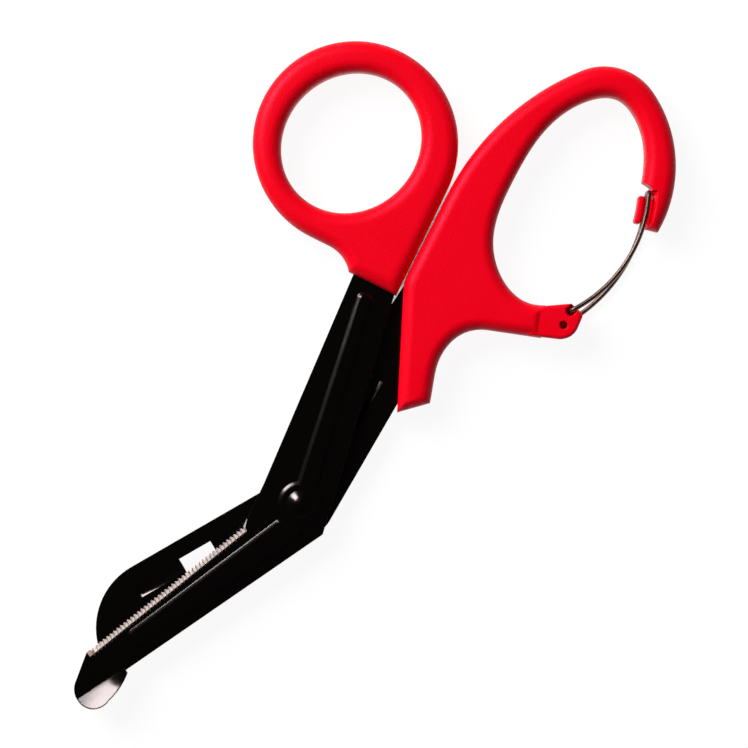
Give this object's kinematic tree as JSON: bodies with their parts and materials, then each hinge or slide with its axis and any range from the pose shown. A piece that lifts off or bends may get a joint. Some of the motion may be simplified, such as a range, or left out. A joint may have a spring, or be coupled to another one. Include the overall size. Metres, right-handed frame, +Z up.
{
  "type": "bandage scissors",
  "caption": "Angled bandage scissors with a blunt-tipped serrated blade, a closed thumb ring and a finger bow shaped as a carabiner with a sprung wire gate.",
  "frame": {"origin": "under the middle of the closed scissors' box, on the surface they lie on", "axes": "+Y from the tips to the handles, +Z up out of the lower blade's outer face, +X to the carabiner bow"},
  "size_m": [0.0936, 0.1839, 0.01],
  "materials": {
    "black_steel": "smooth black coat, ground bare at the teeth",
    "red_plastic": "satin moulded plastic with a fine grain",
    "spring_steel": "drawn wire, slightly tarnished"
  },
  "bodies": {
    "carabiner_half": {"upper_blade": "black_steel", "carabiner_bow": "red_plastic", "pivot_rivet": "black_steel"},
    "thumb_half": {"lower_blade": "black_steel", "thumb_ring": "red_plastic"},
    "gate": {"gate_wire": "spring_steel"}
  },
  "joints": [
    {"name": "blade_pivot", "type": "hinge", "parent": "carabiner_half", "child": "thumb_half", "pos_m": [0.00199, -0.02902, 0.005], "axis": [0, 0, 1], "range_deg": [0, 55]},
    {"name": "gate_hinge", "type": "hinge", "parent": "carabiner_half", "child": "gate", "pos_m": [0.03696, 0.03747, 0.005], "axis": [0, 0, 1], "range_deg": [0, 25], "stiffness_Nm_per_rad": 0.08, "springref_deg": -11.46}
  ]
}
